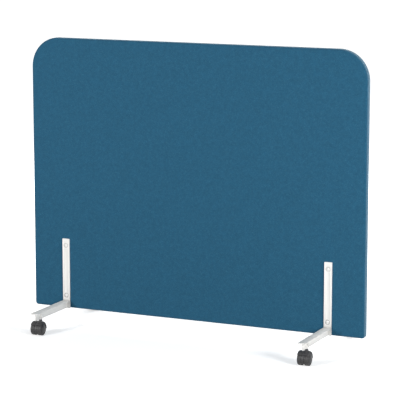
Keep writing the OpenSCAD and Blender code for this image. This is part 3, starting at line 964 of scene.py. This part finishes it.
painted = {corner: paintedFoot(corner) for corner in corners}
weldVerts, weldEdges = weldLines()
weldBeads = addObject("weld_beads", weldVerts, edges=weldEdges)
runTree(weldBeads, beadsAlongPath, {**weld["beads"], "Material": looks["foot_paint"]})
print("stage: feet and welds", len(weldBeads.data.polygons))


# casters: hood, two wheels and their soft treads, drawn round the swivel axis
caster = {
    "trail": 0.018, "axle": 0.025, "gap": 0.0055, "segments": 96,
    "dome": 0.0265, "domeRadius": 0.039575, "domeStart": 0.0015, "domeStep": 0.0014,
    "ringIn": 0.0156, "ringOut": 0.0170, "ringFloor": 0.0221, "shoulder": 0.0190, "rim": 0.02095,
    "tread": 0.025, "treadIn": 0.021, "treadOut": 0.0215, "treadRound": 0.0030,
    "partLine": (0.0002, 0.0004),  # depth and half width of the mould's line round a tread
    "hub": 0.007, "cup": 0.0175, "cupFloor": 0.017, "bore": 0.00305, "boreEnd": 0.020,
    "draft": (0.0001, 0.0003),     # how far the hub and the cup's wall lean
    "rounding": (0.0003, 0.0004, 0.0005, 0.0008), "treadEdge": 0.0001,
    "ribs": 6, "ribThick": 0.0016, "ribBite": 0.001, "ribSunk": 0.0002,
    "wheelSharp": 38, "treadSharp": 40,
    "webReach": 0.0236, "webHalf": 0.0049, "webLow": 0.008,
    "hoodVoxel": 0.0006, "hoodSmooth": 6, "hoodTriangles": 16000,
}


def domeAt(radius):
    ball = caster["domeRadius"]
    return caster["dome"] - ball + math.sqrt(ball ** 2 - radius ** 2)


def wheelMaster():
    c = caster
    hubLean, cupLean = c["draft"]
    least, small, medium, large = c["rounding"]
    points = [(0, domeAt(0), 0)]
    for radius in spread(c["domeStart"], c["ringIn"] - c["domeStep"], c["domeStep"]):
        points.append((radius, domeAt(radius), 0))
    points += [
        (c["ringIn"], domeAt(c["ringIn"]), small), (c["ringIn"], c["ringFloor"], least),
        (c["ringOut"], c["ringFloor"], least), (c["ringOut"], domeAt(c["ringOut"]), least),
        (c["shoulder"], domeAt(c["shoulder"]), 0), (c["rim"], domeAt(c["rim"]), medium),
        (c["rim"], c["gap"], medium), (c["cup"] + cupLean, c["gap"], medium),
        (c["cup"], c["cupFloor"], large), (c["hub"] + hubLean, c["cupFloor"], large),
        (c["hub"], c["gap"], small), (c["bore"], c["gap"], least),
        (c["bore"], c["boreEnd"], 0), (0, c["boreEnd"], 0)]
    piece = lathe("wheel_master", roundProfile(points), c["segments"])
    return runTree(shadeSmooth(piece, c["wheelSharp"]), ribsRoundAxle, {
        "Count": c["ribs"], "Inner": c["hub"] - c["ribBite"], "Outer": c["cup"] + c["ribBite"],
        "Start": c["gap"] + c["ribBite"], "End": c["cupFloor"] + c["ribSunk"],
        "Thickness": c["ribThick"], "Material": looks["wheel_plastic"]})


def tyreMaster():
    c = caster
    middle = (c["gap"] + c["treadOut"]) / 2
    deep, half = c["partLine"]
    points = [
        (c["treadIn"], middle, 0), (c["treadIn"], c["gap"], c["treadEdge"]),
        (c["tread"], c["gap"], c["treadRound"]), (c["tread"], middle - half, 0),
        (c["tread"] - deep, middle, 0), (c["tread"], middle + half, 0),
        (c["tread"], c["treadOut"], c["treadRound"]),
        (c["treadIn"], c["treadOut"], c["treadEdge"]), (c["treadIn"], middle, 0)]
    piece = lathe("tyre_master", roundProfile(points, steps=7), c["segments"])
    return shadeSmooth(piece, c["treadSharp"])


def addWeb(piece):  # the web between the wheels comes nearly flush with the treads
    c = caster
    disc = lathe("web_disc", [
        (0, -c["webHalf"], 0), (c["webReach"], -c["webHalf"], 0),
        (c["webReach"], c["webHalf"], 0), (0, c["webHalf"], 0)], c["segments"])
    disc.data.transform(Matrix.Translation(axlePlace))
    shell = bmesh.new()
    shell.from_mesh(disc.data)
    bmesh.ops.bisect_plane(
        shell, geom=shell.verts[:] + shell.edges[:] + shell.faces[:],
        plane_co=(0, 0, c["webLow"]), plane_no=(0, 0, -1), clear_outer=True)
    bmesh.ops.holes_fill(shell, edges=shell.edges)
    shell.from_mesh(piece.data)
    shell.to_mesh(piece.data)
    shell.free()
    bpy.data.objects.remove(disc)


def hoodMaster():  # the CAD hood with every edge softened as moulding leaves it
    piece = cleanCopy("front_left_hood", "hood_master")
    piece.data.transform(cornerMatrix("front_left").inverted())
    addWeb(piece)
    modify(piece, "REMESH", mode="VOXEL", voxel_size=caster["hoodVoxel"])
    modify(piece, "SMOOTH", iterations=caster["hoodSmooth"])
    makePlain(piece)
    triangles = 2 * len(piece.data.polygons)
    modify(piece, "DECIMATE", ratio=min(1, caster["hoodTriangles"] / triangles))
    return shadeSmooth(makePlain(piece))


def copyTo(master, name, placement, material):
    piece = linkObject(name, master.data.copy())
    piece.data.name = name
    piece.data.transform(placement)
    if placement.determinant() < 0:
        piece.data.flip_normals()
    return paint(piece, material)


axlePlace = (0, -footPlace["stem"] - caster["trail"], caster["axle"])
masters = {"hood": hoodMaster(), "wheel": wheelMaster(), "tyre": tyreMaster()}
casterPieces = []  # each with its CAD node, its body and its slot
for corner in corners:
    toCorner = cornerMatrix(corner)
    hood = copyTo(masters["hood"], corner + "_moulded_hood", toCorner, looks["hood_plastic"])
    casterPieces.append((hood, corner + "_hood", corner + "_caster", "hood_plastic"))
    for letter, way in (("a", -1), ("b", 1)):
        toSide = toCorner @ Matrix.Translation(axlePlace) @ Matrix.Diagonal((way, 1, 1, 1))
        for kind, slot in (("wheel", "wheel_plastic"), ("tyre", "tyre_rubber")):
            piece = copyTo(masters[kind], f"{corner}_turned_{kind}_{letter}", toSide, looks[slot])
            casterPieces.append(
                (piece, f"{corner}_{kind}_{letter}", f"{corner}_roller_{letter}", slot))
for master in masters.values():
    bpy.data.objects.remove(master)
print("stage: casters", len(casterPieces), "pieces")


# every piece rides on its CAD body and stands for its CAD solid
onPanel = [
    (frontCloth, ("front_cover",), "cover_cloth"), (rearCloth, ("rear_cover",), "cover_cloth"),
    (seamStitches, (), "cover_cloth"), (weldBeads, (), "foot_paint"),
    (screws, ("left_foot_screws", "right_foot_screws"), "bolt_paint"),
    (nuts, ("left_sleeve_nuts", "right_sleeve_nuts"), "bolt_paint"),
]
onPanel += [(painted[corner], (corner + "_foot",), "foot_paint") for corner in corners]
for piece, nodes, slot in onPanel:
    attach(piece, "panel")
    if nodes:
        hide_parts(*nodes)
for piece, node, body, slot in casterPieces:
    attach(piece, body)
    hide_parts(node)
print("stage: pieces on their bodies")


# plain pale studio: low softboxes in front, as the photo's shadows lie, and three behind
studio = {
    "floorSize": 60.0, "floorAlbedo": 0.5, "seenAlbedo": 0.97, "worldStrength": 0.12,
    "floorLift": (0.50, 1.0),  # at the object, and far from it
    "liftRadius": (1.0, 2.4),
    "aim": (0.0, 0.0, 0.42),
    # azimuth from the front, height in degrees, distance, power, size
    "lamps": [(-27, 15, 5.0, 150, 1.0), (64, 12, 4.2, 116, 0.9), (153, 19, 5.0, 85, 1.0),
              (207, 19, 5.0, 85, 1.0), (180, 62, 5.0, 70, 1.0)],
}
view = {  # the camera, fitted to the photo's panel, feet and casters
    "place": (3.00782, -6.49045, 1.75836), "downward": 9.7248, "turn": 24.7090,
    "lens": 170.42, "sensor": 36, "reach": 100,
}


def cameraSees(tree):  # 1 for rays that look at the background, straight or by reflection
    ray = addNode(tree, "ShaderNodeLightPath").outputs
    seen = calc(tree, "MAXIMUM", ray["Is Camera Ray"], ray["Is Glossy Ray"])
    return calc(tree, "MAXIMUM", seen, ray["Is Transmission Ray"])


def buildFloor():
    half = studio["floorSize"] / 2
    outline = [(-half, -half, 0), (half, -half, 0), (half, half, 0), (-half, half, 0)]
    floor = addObject("floor", outline, [(0, 1, 2, 3)])
    material, tree, shader = openMaterial(
        "paleFloor", Roughness=0.9, Specular_IOR_Level=0.0, Emission_Color=(1, 1, 1, 1))
    albedo = remap(tree, cameraSees(tree), 0.0, 1.0, studio["floorAlbedo"], studio["seenAlbedo"])
    dress(tree, shader, greyOf(tree, albedo))
    away = lengthOf(tree, objectPlace(tree))
    lift = remap(tree, away, *studio["liftRadius"], *studio["floorLift"])
    feed(tree, shader.inputs["Emission Strength"], calc(tree, "MULTIPLY", cameraSees(tree), lift))
    paint(floor, material)


def buildWorld():
    world = bpy.data.worlds.new("studio")
    world.use_nodes = True
    tree = world.node_tree
    backdrop = tree.nodes["Background"].inputs
    feed(tree, backdrop["Color"], (1, 1, 1, 1))
    strength = mixValue(tree, cameraSees(tree), studio["worldStrength"], 1.0)
    feed(tree, backdrop["Strength"], strength)
    scene.world = world


def buildLamps():
    for number, (azimuth, height, distance, power, size) in enumerate(studio["lamps"]):
        turn, rise = math.radians(azimuth), math.radians(height)
        flatly = math.cos(rise)
        back = Vector((math.sin(turn) * flatly, -math.cos(turn) * flatly, math.sin(rise)))
        data = bpy.data.lights.new(f"softbox{number}", "AREA")
        data.size, data.energy = size, power
        lamp = linkObject(data.name, data)
        lamp.location = Vector(studio["aim"]) + back * distance
        lamp.rotation_euler = (-back).to_track_quat("-Z", "Y").to_euler()


def buildCamera():
    data = bpy.data.cameras.new("camera")
    data.sensor_width, data.lens, data.clip_end = view["sensor"], view["lens"], view["reach"]
    camera = linkObject("camera", data)
    camera.location = view["place"]
    camera.rotation_euler = (math.radians(90 - view["downward"]), 0, math.radians(view["turn"]))
    scene.camera = camera


buildFloor()
buildWorld()
buildLamps()
buildCamera()
scene.view_settings.view_transform = "Standard"
print("stage: studio")
